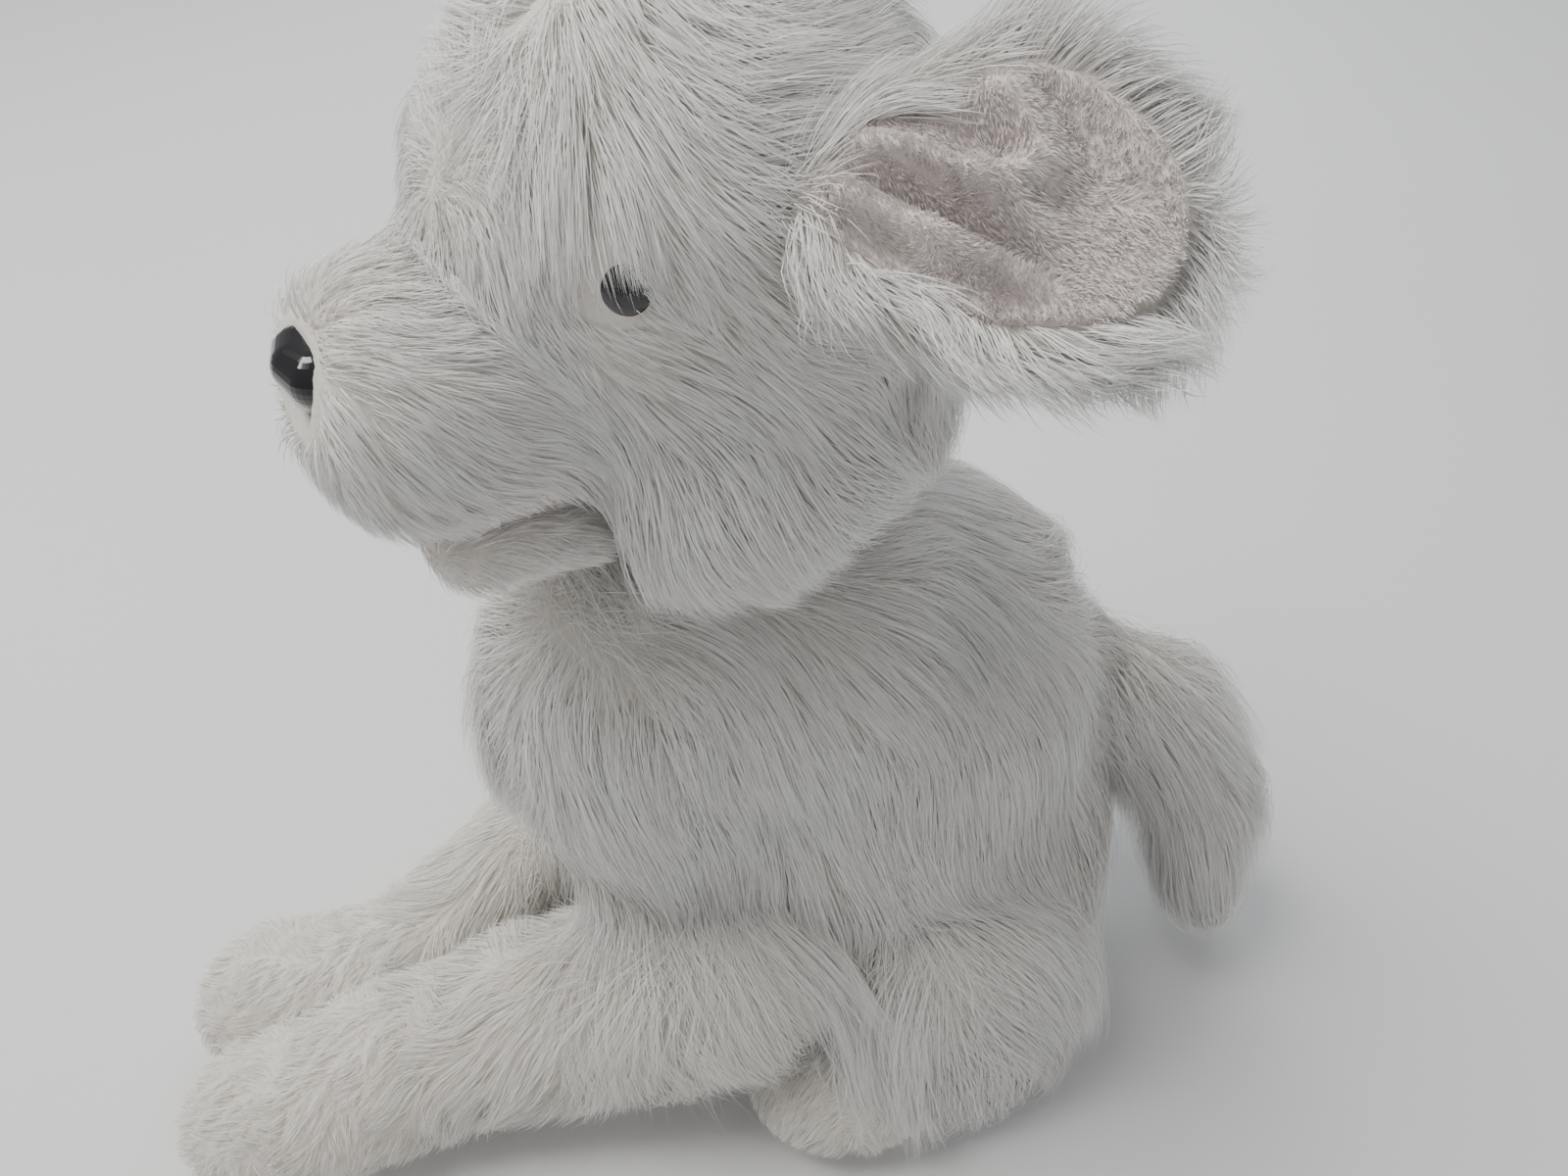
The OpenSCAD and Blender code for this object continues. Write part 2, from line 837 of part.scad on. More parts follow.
module ear_frame(side) {
    ear_place(side) ear_axis() {
        translate([0, 0, 24]) cylinder(h = 2.6, r = 5);
        translate([0, 0, 25]) cylinder(h = ear_far - 25, r = spindle_r);
    }
    ear_leaf_place(side) {
        sphere(r = 4);
        translate([0, -4, -1.2]) cube([26, 8, 2]);
        translate([0, 0, -1.2]) linear_extrude(2) leaf_plan(-8);
    }
}

module ear_plush(side) {
    ear_leaf_place(side) difference() {
        translate([0, 0, -5]) linear_extrude(ear_thick) leaf_plan(0);
        translate([0, -4.3, -1.5]) cube([26, 8.6, 2.6]);
        translate([0, 0, -1.5]) linear_extrude(2.6) leaf_plan(-7.5);
    }
}

module ear_lining(side) {
    ear_leaf_place(side) translate([0, 0, ear_thick - 5 + 0.2]) linear_extrude(1.2) leaf_plan(-4);
}

module ear_left_frame() {
    color("gainsboro") ear_frame(1);
}

module ear_left_plush() {
    color("ivory") ear_plush(1);
}

module ear_left_lining() {
    color("rosybrown") ear_lining(1);
}

module ear_right_frame() {
    color("gainsboro") ear_frame(-1);
}

module ear_right_plush() {
    color("ivory") ear_plush(-1);
}

module ear_right_lining() {
    color("rosybrown") ear_lining(-1);
}

torso_shell_left();
torso_shell_right();
torso_screws();
torso_plush();
hind_leg_left();
hind_leg_right();
battery_tray();
battery_cells();
battery_contacts();
circuit_board();
speaker();
neck_motor();
tail_motor();
tail_bracket();
battery_door();
battery_door_screw();
power_switch_knob();
back_touch_button();
neck_turntable();
neck_pinion();
skull_left();
skull_right();
head_screws();
head_plush();
nose();
eye_left();
eye_right();
mouth_lining();
jaw_motor();
jaw_hinge_pin();
jaw_frame();
jaw_plush();
tongue();
ear_left_frame();
ear_left_plush();
ear_left_lining();
ear_right_frame();
ear_right_plush();
ear_right_lining();
tail_core();
tail_plush();
foreleg_left_arm();
foreleg_left_plush();
foreleg_right_arm();
foreleg_right_plush();
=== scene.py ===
"""The looks of an interactive plush puppy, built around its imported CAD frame.

Blender's lengths are metres. The forms and the pile are made in millimetres, in frames of their own.
"""

import json
import math

import bpy
import numpy as np
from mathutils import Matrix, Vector, kdtree


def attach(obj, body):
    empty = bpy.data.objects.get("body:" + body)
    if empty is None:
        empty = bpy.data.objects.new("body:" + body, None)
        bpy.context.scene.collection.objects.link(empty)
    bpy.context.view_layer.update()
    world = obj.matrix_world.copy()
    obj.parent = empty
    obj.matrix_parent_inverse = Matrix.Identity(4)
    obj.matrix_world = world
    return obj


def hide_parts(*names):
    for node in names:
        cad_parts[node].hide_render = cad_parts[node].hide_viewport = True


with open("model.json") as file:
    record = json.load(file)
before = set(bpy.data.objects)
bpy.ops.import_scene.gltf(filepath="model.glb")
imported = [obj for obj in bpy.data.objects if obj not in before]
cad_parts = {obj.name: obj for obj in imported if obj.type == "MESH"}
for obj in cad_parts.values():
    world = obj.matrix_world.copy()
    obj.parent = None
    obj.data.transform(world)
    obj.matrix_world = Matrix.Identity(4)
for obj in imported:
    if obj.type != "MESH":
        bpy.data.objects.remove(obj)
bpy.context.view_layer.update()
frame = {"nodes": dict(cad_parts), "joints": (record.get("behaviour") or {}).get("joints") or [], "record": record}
MM = 0.001
BLADES_A_LOCK = 45
ROOT_DEPTH = 0.6            # millimetres that a blade starts under the skin
TABLE = 0.6                 # millimetres above the table that the lowest pile keeps
MOST_FACES = 180000         # a piece of pile has no more faces than this
JOINTS = {j["name"]: j for j in frame["joints"]}

# ---------------------------------------------------------------- the puppy's own frames

# The head's frame: origin at the nod pivot, X to the puppy's left, Y backward, Z up, in millimetres.
PIVOT = np.array(JOINTS["head_nod"]["pos_m"])
HEAD_LEFT = -np.array(JOINTS["head_nod"]["axis"])
HEAD_BACK = np.cross([0, 0, 1.0], HEAD_LEFT)
HEAD_AXES = np.array([HEAD_LEFT, HEAD_BACK, [0, 0, 1.0]])
# The torso's frame has the same axes as the row. Its origin is on the table, NECK_Y in front of the neck.
NECK_Y = 22
BASE = np.array([PIVOT[0], PIVOT[1] - NECK_Y * MM, 0.0])


class Place:
    """A frame in millimetres, and how its points go to the row's metres."""

    def __init__(self, origin, axes):
        self.origin, self.axes = np.array(origin), np.array(axes)

    def out(self, p):
        return np.asarray(p, float) * MM @ self.axes + self.origin


HEAD = Place(PIVOT, HEAD_AXES)
TORSO = Place(BASE, np.eye(3))


# ---------------------------------------------------------------- solid forms as distance fields

def ball(c, r):
    """An ellipsoid: distance in millimetres, near enough, outside and inside."""
    c, r = np.array(c, float), np.broadcast_to(np.array(r, float), 3)

    def field(p):
        q = p - c
        a = np.linalg.norm(q / r, axis=-1)
        b = np.linalg.norm(q / r ** 2, axis=-1)
        return a * (a - 1) / np.maximum(b, 1e-9)

    return field


def limb(a, b, ra, rb):
    """A round cone from a to b."""
    a, b = np.array(a, float), np.array(b, float)
    d = b - a

    def field(p):
        t = np.clip((p - a) @ d / (d @ d), 0, 1)
        return np.linalg.norm(p - a - t[..., None] * d, axis=-1) - (ra + (rb - ra) * t)

    return field


def slab(c, half, r):
    """A box with edges rounded to r."""
    c, half = np.array(c, float), np.array(half, float)

    def field(p):
        q = np.abs(p - c) - (half - r)
        return np.linalg.norm(np.maximum(q, 0), axis=-1) + np.minimum(q.max(-1), 0) - r

    return field


def merged(fields, k):
    """Fields joined with a fillet about k millimetres across."""

    def field(p):
        d = np.stack([f(p) for f in fields])
        low = d.min(0)
        return low - k * 0.35 * np.log(np.exp(-(d - low) / (k * 0.35)).sum(0))

    return field


def cut(field, tool, k=3.0):
    """A field less a tool, with an edge rounded over about k millimetres."""

    def out(p):
        a, b = field(p), -tool(p)
        h = np.clip(0.5 - 0.5 * (b - a) / k, 0, 1)
        return b + (a - b) * h + k * h * (1 - h)

    return out


def nod(field, pivot, degrees):
    """The field turned about a left-right axis through pivot; positive lifts what is in front."""
    c, s = np.cos(np.radians(degrees)), np.sin(np.radians(degrees))
    pivot, turn = np.array(pivot, float), np.array([[1, 0, 0], [0, c, s], [0, -s, c]])
    return lambda p: field((p - pivot) @ turn + pivot)


def above(field, floor=1.2):
    """The field cut flat where it meets the table, in the torso's frame."""
    return lambda p: np.maximum(field(p), floor - p[..., 2])


def slope(field, p, e=0.4):
    """Unit outward normals of a field."""
    g = np.stack([field(p + d) - field(p - d) for d in np.eye(3) * e], -1)
    return g / np.maximum(np.linalg.norm(g, axis=-1, keepdims=True), 1e-9)


def unit(v):
    """Vectors scaled to length 1."""
    return v / np.maximum(np.linalg.norm(v, axis=-1, keepdims=True), 1e-9)


def smooth(x, a, b):
    """0 at a and 1 at b, easing in and out."""
    t = np.clip((x - a) / (b - a), 0, 1)
    return t * t * (3 - 2 * t)


class Ripple:
    """Smooth, seeded vector noise with features about size millimetres across."""

    def __init__(self, seed, size, waves=10):
        rng = np.random.default_rng(seed)
        self.k = unit(rng.normal(size=(waves, 3))) * 2 * np.pi / (size * rng.uniform(0.7, 1.6, (waves, 1)))
        self.phase = rng.uniform(0, 2 * np.pi, waves)
        self.v = unit(rng.normal(size=(waves, 3))) / np.sqrt(waves)

    def __call__(self, p):
        return np.sin(p @ self.k.T + self.phase) @ self.v * 1.4


# ---------------------------------------------------------------- meshes

def new_mesh(name, verts, faces, place=None, smooth_faces=True):
    """verts in the place's millimetres, faces as one array of triangles or quads."""
    co = place.out(verts) if place else np.asarray(verts, float)
    me = bpy.data.meshes.new(name)
    faces = np.asarray(faces)
    if place and np.linalg.det(place.axes) < 0:
        faces = faces[:, ::-1]
    sides = faces.shape[1]
    me.vertices.add(len(co))
    me.vertices.foreach_set("co", co.astype(np.float32).ravel())
    me.loops.add(faces.size)
    me.loops.foreach_set("vertex_index", faces.astype(np.int32).ravel())
    me.polygons.add(len(faces))
    me.polygons.foreach_set("loop_start", np.arange(len(faces), dtype=np.int32) * sides)
    me.polygons.foreach_set("loop_total", np.full(len(faces), sides, np.int32))
    me.polygons.foreach_set("use_smooth", np.full(len(faces), smooth_faces))
    me.update(calc_edges=True)
    ob = bpy.data.objects.new(name, me)
    bpy.context.scene.collection.objects.link(ob)
    return ob


def net(field, low, high, step):
    """Surface nets: the zero surface of a field between two corners, as verts and quads."""
    low, high = np.array(low, float), np.array(high, float)
    n = np.ceil((high - low) / step).astype(int) + 1
    axes = [low[i] + step * np.arange(n[i]) for i in range(3)]
    grid = np.stack(np.meshgrid(*axes, indexing="ij"), -1)
    d = field(grid)
    inside = d < 0
    cells = np.zeros(n - 1, int)
    point_sum, count = np.zeros((*(n - 1), 3)), np.zeros(n - 1)
    corner = [(a, b, c) for a in (0, 1) for b in (0, 1) for c in (0, 1)]
    view = lambda arr, o: arr[o[0]:o[0] + n[0] - 1, o[1]:o[1] + n[1] - 1, o[2]:o[2] + n[2] - 1]
    for i, a in enumerate(corner):
        for b in corner[i + 1:]:
            if sum(abs(x - y) for x, y in zip(a, b)) != 1:
                continue
            da, db = view(d, a), view(d, b)
            crossed = (da < 0) != (db < 0)
            t = np.where(crossed, da / np.where(crossed, da - db, 1), 0)[..., None]
            pa, pb = view(grid, a), view(grid, b)
            point_sum += np.where(crossed[..., None], pa + (pb - pa) * t, 0)
            count += crossed
    used = count > 0
    cells[used] = np.arange(used.sum())
    verts = point_sum[used] / count[used][:, None]
    quads = []
    for ax in range(3):
        o1, o2 = [x for x in range(3) if x != ax]
        ahead = [slice(None)] * 3
        ahead[ax] = slice(1, None)
        behind = [slice(None)] * 3
        behind[ax] = slice(0, -1)
        s0, s1 = inside[tuple(behind)], inside[tuple(ahead)]
        edge = np.argwhere(s0 != s1)
        keep = (edge[:, o1] > 0) & (edge[:, o2] > 0)
        keep &= (edge[:, o1] < n[o1] - 1) & (edge[:, o2] < n[o2] - 1)
        edge = edge[keep]
        flip = s0[tuple(edge.T)]
        if ax == 1:
            flip = ~flip
        ids = []
        for da, db in ((0, 0), (-1, 0), (-1, -1), (0, -1)):
            c = edge.copy()
            c[:, o1] += da
            c[:, o2] += db
            ids.append(cells[tuple(c.T)])
        q = np.stack(ids, 1)
        q[flip] = q[flip][:, ::-1]
        quads.append(q)
    verts = verts - slope(field, verts) * field(verts)[:, None]
    return verts, np.concatenate(quads)[:, ::-1]


def skin(name, field, low, high, step, place, body, stands_for, material):
    """A stuffed piece's fabric backing, which its pile grows from."""
    verts, quads = net(field, low, high, step)
    ob = new_mesh(name, verts, quads, place)
    ob.data.materials.append(material)
    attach(ob, body)
    for n in stands_for:
        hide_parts(n)
    return verts, quads


# ---------------------------------------------------------------- pile

def scatter(verts, quads, count, rng, weight=None):
    """Seeded roots spread over a skin, as dense as weight says."""
    a, b, c, d = (verts[quads[:, i]] for i in range(4))
    tri = np.concatenate([np.stack([a, b, c], 1), np.stack([a, c, d], 1)])
    area = np.linalg.norm(np.cross(tri[:, 1] - tri[:, 0], tri[:, 2] - tri[:, 0]), axis=1) / 2
    if weight is not None:
        area = area * weight(tri.mean(1))
    pick = rng.choice(len(tri), count, p=area / area.sum())
    u, v = rng.random((2, count))
    over = u + v > 1
    u[over], v[over] = 1 - u[over], 1 - v[over]
    t = tri[pick]
    return t[:, 0] + u[:, None] * (t[:, 1] - t[:, 0]) + v[:, None] * (t[:, 2] - t[:, 0])


def strand_paths(field, roots, style, rng, segments):
    """Centrelines that leave the skin, lean along the comb, droop, and stay above the skin."""
    n = slope(field, roots)
    s = style(roots, n)
    length = s["length"] * rng.uniform(0.72, 1.18, len(roots))
    lift = np.clip(s["lift"] + rng.normal(0, 0.10, len(roots)), 0.05, 1)[:, None]
    comb = unit(s["comb"] + rng.normal(0, s.get("stray", 0.12), roots.shape))
    along = unit(comb - (comb * n).sum(1, keepdims=True) * n)
    heading = unit(n * lift + along * (1.05 - lift))
    high = s["height"] * rng.uniform(0.35, 1.25, len(roots))
    droop = s.get("droop", 0.15)
    droop = np.broadcast_to(droop, len(roots))[:, None]
    path = [roots - n * ROOT_DEPTH]
    p, step = path[0], (length / segments)[:, None]
    swirl, down = s["swirl"], s.get("down", DOWN)
    for k in range(1, segments + 1):
        f = k / segments
        pull = comb + swirl(p) * 0.35
        pull = pull - (pull * n).sum(1, keepdims=True) * n * 0.8
        heading = unit(heading + unit(pull) * 0.42 + down * droop * f)
        p = p + heading * step
        n = slope(field, p, 1.0)
        d = field(p)
        least = 0.4 + high * f * 0.45
        most = 0.8 + high * (0.35 + 0.65 * f)
        p = p + n * (np.clip(d, least, np.maximum(most, least)) - d)[:, None]
        if s.get("floor") is not None:
            p[:, 2] = np.maximum(p[:, 2], s["floor"])
        path.append(p)
    return np.stack(path, 1), length


DOWN = np.array([0, 0, -1.0])


def pile(name, place, body, material, field, mesh, style, count, seed,
         segments=4, width=0.27, clump=0.6, weight=None, keep=None, clear=None):
    """Fur as fine tapered blades, drawn together into locks.

    keep says which roots grow a blade, and clear says which paths stay.
    """
    rng = np.random.default_rng(seed)
    share = 1
    full, count = count, int(count * share)
    roots = scatter(*mesh, count, rng, weight)
    if keep is not None:
        roots = roots[keep(roots)]
    paths, length = strand_paths(field, roots, style, rng, segments)
    if clear is not None:
        free = clear(paths, rng)
        roots, paths = roots[free], paths[free]
    count = len(roots)
    f = np.linspace(0, 1, segments + 1)
    # locks: each blade's tip is drawn towards the nearest guide's
    guides = rng.choice(count, max(8, int(count / BLADES_A_LOCK / share)), replace=False)
    tree = kdtree.KDTree(len(guides))
    for i, g in enumerate(guides):
        tree.insert(roots[g], i)
    tree.balance()
    near = guides[[tree.find(r)[1] for r in roots]]
    draw = clump * rng.uniform(0.35, 1.0, count)[:, None] * f[None, :] ** 1.3
    paths = paths + (paths[near] - paths) * draw[..., None]
    # blades
    ahead = unit(np.gradient(paths, axis=1))
    out = slope(field, roots)[:, None, :] + rng.normal(0, 0.55, (count, 1, 3))
    side = unit(np.cross(ahead, out))
    w = width * rng.uniform(0.6, 1.25, count)[:, None] * (1 - f[None, :] ** 1.6) * 0.5
    left, right = paths - side * w[..., None], paths + side * w[..., None]
    body_pts = np.stack([left[:, :-1], right[:, :-1]], 2).reshape(count, -1, 3)
    verts = np.concatenate([body_pts, paths[:, -1:]], 1)
    per = verts.shape[1]
    tris = []
    for k in range(segments - 1):
        a = 2 * k
        tris += [[a, a + 1, a + 3], [a, a + 3, a + 2]]
    tris.append([per - 3, per - 2, per - 1])
    tris, along = np.array(tris), np.concatenate([np.repeat(f[:-1], 2), [1.0]])
    tone = rng.random(count)
    pieces = math.ceil(full * len(tris) / MOST_FACES)
    for k in range(pieces):
        some = slice(k, None, pieces)
        n = len(verts[some])
        faces = (np.arange(n)[:, None, None] * per + tris[None]).reshape(-1, 3)
        piece = name if pieces == 1 else "%s_%d" % (name, k + 1)
        ob = new_mesh(piece, verts[some].reshape(-1, 3), faces, place)
        put(ob, "along", np.tile(along, n))
        put(ob, "tone", np.repeat(tone[some], per))
        ob.data.materials.append(material)
        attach(ob, body)


def put(ob, name, values):
    """One number for each vertex, for the materials to read."""
    ob.data.attributes.new(name, "FLOAT", "POINT").data.foreach_set("value", values.astype(np.float32))


# ---------------------------------------------------------------- materials

class Nodes:
    """Short names for building one material's node tree."""

    def __init__(self, name):
        self.mat = bpy.data.materials.new(name)
        self.mat.use_nodes = True
        self.tree = self.mat.node_tree
        self.bsdf = self.tree.nodes["Principled BSDF"]

    def add(self, kind, **values):
        node = self.tree.nodes.new(kind)
        for key, value in values.items():
            if key in node.inputs:
                node.inputs[key].default_value = value
            else:
                setattr(node, key, value)
        return node

    def link(self, a, b):
        self.tree.links.new(a, b)

    def noise(self, scale, detail=3.0, rough=0.55):
        at = self.add("ShaderNodeTexCoord")
        n = self.add("ShaderNodeTexNoise", Scale=scale, Detail=detail, Roughness=rough)
        self.link(at.outputs["Object"], n.inputs["Vector"])
        return n.outputs["Fac"]

    def ramp(self, source, stops):
        r = self.add("ShaderNodeValToRGB")
        ramp = r.color_ramp
        while len(ramp.elements) < len(stops):
            ramp.elements.new(0.5)
        for e, (at, colour) in zip(ramp.elements, stops):
            e.position, e.color = at, (*colour, 1)
        self.link(source, r.inputs["Fac"])
        return r.outputs["Color"]

    def mix(self, a, b, factor, blend="MIX"):
        m = self.add("ShaderNodeMix", data_type="RGBA", blend_type=blend)
        for socket, value in ((m.inputs[0], factor), (m.inputs[6], a), (m.inputs[7], b)):
            if hasattr(value, "links"):
                self.link(value, socket)
            else:
                socket.default_value = (*value, 1) if isinstance(value, tuple) else value
        return m.outputs[2]

    def bump(self, height, strength, distance):
        b = self.add("ShaderNodeBump", Strength=strength, Distance=distance)
        self.link(height, b.inputs["Height"])
        self.link(b.outputs["Normal"], self.bsdf.inputs["Normal"])

    def finish(self, colour, **values):
        self.link(colour, self.bsdf.inputs["Base Color"])
        for key, value in values.items():
            self.bsdf.inputs[key.replace("_", " ")].default_value = value
        return self.mat


def fur(name, root, middle, tip, cool):
    """Pile: painted shade at the root, where the pile shades itself, fading to pale at the tip, with each blade
    and each patch a little different.
    """
    m = Nodes(name)
    along = m.add("ShaderNodeAttribute", attribute_name="along").outputs["Fac"]
    tone = m.add("ShaderNodeAttribute", attribute_name="tone").outputs["Fac"]
    # the root colour is painted shade: each blade darkens towards the skin the way the pile's own shadow would
    # darken it
    colour = m.ramp(along, [(0.0, root), (0.35, middle), (0.85, tip)])
    patch = m.ramp(m.noise(22), [(0.42, (0, 0, 0)), (0.62, (1, 1, 1))])
    colour = m.mix(colour, cool, m.mix((0, 0, 0), (0.5, 0.5, 0.5), patch))
    colour = m.mix(colour, m.ramp(tone, [(0, (0.90, 0.895, 0.88)), (1, (1, 1, 1))]), 1.0, "MULTIPLY")
    return m.finish(colour, Roughness=0.8, Specular_IOR_Level=0.25,
                    Sheen_Weight=0.25, Sheen_Roughness=0.5)


def backing(name, low, high):
    """Knitted backing cloth, seen only between the roots of the pile."""
    m = Nodes(name)
    n = m.noise(900, 2.0)
    m.bump(n, 0.5, 0.0006)
    return m.finish(m.ramp(n, [(0.3, low), (0.7, high)]), Roughness=0.95, Sheen_Weight=0.2)


def grained(name, low, high, scale=300, rough=0.5, bump=0.15, **more):
    """A moulded, painted or stamped finish with a fine grain."""
    m = Nodes(name)
    n = m.noise(scale)
    m.bump(n, bump, 0.0002)
    return m.finish(m.ramp(n, [(0.3, low), (0.7, high)]), Roughness=rough, **more)


# in each pile the first colour is painted shade at the blades' roots, and the third is the tip's own colour
WHITE_FUR = fur("white long pile", (0.82, 0.785, 0.735), (0.925, 0.91, 0.88),
                (0.97, 0.965, 0.95), (0.93, 0.935, 0.94))
CREAM_FUR = fur("cream short pile", (0.79, 0.745, 0.68), (0.90, 0.87, 0.815),
                (0.95, 0.93, 0.88), (0.92, 0.90, 0.86))
VELOUR = fur("ear velour pile", (0.70, 0.62, 0.60), (0.82, 0.76, 0.745),
             (0.90, 0.855, 0.84), (0.85, 0.80, 0.79))
CLOTH = backing("plush backing", (0.72, 0.68, 0.62), (0.80, 0.76, 0.70))
PINK_CLOTH = backing("velour backing", (0.70, 0.62, 0.60), (0.80, 0.73, 0.71))
MOUTH_CLOTH = backing("mouth felt", (0.10, 0.035, 0.03), (0.17, 0.06, 0.05))
TONGUE_CLOTH = backing("tongue felt", (0.46, 0.045, 0.035), (0.60, 0.08, 0.055))
BEAD = grained("black bead", (0.006, 0.006, 0.007), (0.014, 0.014, 0.016), 120, 0.12, 0.03, Coat_Weight=0.5)
NOSE_BLACK = grained("nose black", (0.010, 0.010, 0.011), (0.022, 0.022, 0.024), 700, 0.24, 0.12,
                     Coat_Weight=0.3)
CASE = grained("case plastic", (0.66, 0.66, 0.64), (0.72, 0.72, 0.70))
DOOR = grained("door plastic", (0.76, 0.75, 0.72), (0.82, 0.81, 0.78))
DARK_PLASTIC = grained("dark plastic", (0.05, 0.05, 0.055), (0.08, 0.08, 0.085))
GEAR = grained("acetal", (0.80, 0.79, 0.74), (0.86, 0.85, 0.80), 200, 0.35)
BOARD = grained("circuit board", (0.02, 0.14, 0.06), (0.03, 0.20, 0.09), 500, 0.4)
STEEL = grained("plated steel", (0.50, 0.50, 0.50), (0.62, 0.62, 0.62), 800, 0.32, Metallic=1.0)
CELL = grained("cell jacket", (0.55, 0.35, 0.08), (0.68, 0.45, 0.12), 90, 0.35)
SPEAKER = grained("speaker cone", (0.03, 0.03, 0.03), (0.05, 0.05, 0.05), 900, 0.9, 0.4)
SLOT_FINISH = {
    "plush_fur": CLOTH, "paw_fur": CLOTH, "ear_velour": PINK_CLOTH, "mouth_fabric": MOUTH_CLOTH,
    "tongue_fabric": TONGUE_CLOTH, "bead_black": BEAD, "case_plastic": CASE, "door_plastic": DOOR,
    "switch_plastic": DARK_PLASTIC, "gear_plastic": GEAR, "board": BOARD, "motor_steel": STEEL,
    "screw_steel": STEEL, "contact_metal": STEEL, "speaker_black": SPEAKER, "cell_jacket": CELL,
}


# ---------------------------------------------------------------- the puppy's soft forms

LEFT_LEG = [(55, 18, 54, 25), (47, -42, 34, 24), (49, -92, 25, 22), (54, -124, 20, 19)]
RIGHT_LEG = [(-57, 18, 52, 20), (-20, -36, 28, 19), (16, -90, 20, 20), (16, -124, 19, 18)]
MOUTH_TILT, JAW_TILT = 6, 12
EYE_AT, EYE_OUT = np.array([34.0, -25.5, 68.0]), np.array([36.5, -29.0, 68.0])
NOSE_AT, TONGUE_TIP = np.array([0.0, -79.0, 48.5]), np.array([11.0, -65.0, 18.0])
TAIL_WAY = [(0, 138, 104, 13), (10, 164, 97, 12), (27, 179, 68, 12), (40, 182, 34, 10)]

torso_form = merged([
    slab((0, 50, 84), (38, 54, 74), 14),
    ball((2, 4, 128), (43, 41, 50)),
    ball((3, 8, 164), (38, 35, 32)),
    ball((0, 50, 150), (47, 53, 45)),
    ball((0, 93, 135), (49, 34, 39)),
    ball((0, 70, 105), (54, 64, 60)),
    ball((0, 88, 62), (57, 60, 60)),
    ball((0, 127, 106), (19, 22, 23)),
], 14)
torso_form = above(cut(torso_form, slab((0, -56, 42), (100, 50, 50), 6), 5))

head_form = merged([
    ball((0, 5, 58), (51, 50, 50)),
    ball((24, 2, 22), (27, 30, 30)),
    ball((-24, 2, 22), (27, 30, 30)),
    ball((0, 2, 6), 38),
    ball((3, 25, 23), (38, 32, 32)),
    ball((0, -24, 66), (36, 20, 22)),
    slab((0, -46, 37), (24, 30, 22), 16),
    ball((0, -57, 37), (25, 22, 22)),
], 12)
mouth_cut = nod(slab((0, -55, -8), (27, 46, 22), 4), (0, -20, 14), MOUTH_TILT)
head_form = cut(cut(head_form, mouth_cut, 3), ball(NOSE_AT + [0, -2, 0], (9.5, 8, 9.5)), 3)
jaw_form = nod(slab((0, -44, -3.4), (20, 21, 8), 7.5), (0, -22, 0), JAW_TILT)
tongue_form = nod(slab((2, -53.5, 6.8), (12.5, 15.5, 2.5), 2.4), (0, -22, 0), JAW_TILT)
lining_form = nod(slab((0, -44, 13.4), (17, 20, 1.4), 1.3), (0, -20, 14), MOUTH_TILT)


def leg_form(leg):
    parts = [limb(a[:3], b[:3], a[3], b[3]) for a, b in zip(leg, leg[1:])]
    x, y = leg[3][:2]
    parts.append(ball((x, y + 7, 20.5), (23, 32, 21)))
    return above(merged(parts, 10))


def hind_form(side):
    parts = [ball((70 * side, 86, 40), (17, 34, 38)), ball((78 * side, 52, 20), (22, 31, 19.5)),
             ball((73 * side, 84, 18), (18, 34, 17))]
    return above(merged(parts, 9))


left_leg, right_leg = leg_form(LEFT_LEG), leg_form(RIGHT_LEG)
left_hind, right_hind = hind_form(1), hind_form(-1)
tail_form = merged([limb(a[:3], b[:3], a[3], b[3]) for a, b in zip(TAIL_WAY, TAIL_WAY[1:])], 8)

# ---------------------------------------------------------------- how each part's pile lies


def style(length, lift, comb, height, swirl, **more):
    out = dict(length=length, lift=lift, comb=comb, height=height, swirl=swirl)
    out.update(more)
    return out


def torso_style(p, n):
    x, y, z = p.T
    chest = smooth(y, 30, -5) * smooth(z, 60, 100)
    back = smooth(n[:, 2], 0.25, 0.9)
    flank = smooth(np.abs(x), 25, 45) * (1 - chest) * smooth(z, 150, 110)
    rump = smooth(y, 95, 125)
    low = smooth(z, 125, 75)
    comb = np.stack([np.sign(x) * (0.10 + 0.85 * low * smooth(np.abs(x), 10, 30)),
                     0.22 + 0.8 * back + 0.35 * rump - 0.3 * chest, -1.1 + 0.7 * back], -1)
    comb = comb + TORSO_SWIRL(p) * 0.5
    length = 32 + 14 * flank + 16 * rump - 3 * back + 3 * chest + 36 * low * smooth(z, 20, 45)
    height = 10.5 + 2 * flank + 4 * rump
    return style(length, 0.32 + 0.1 * chest, comb, height, TORSO_SWIRL, droop=0.35, floor=TABLE)


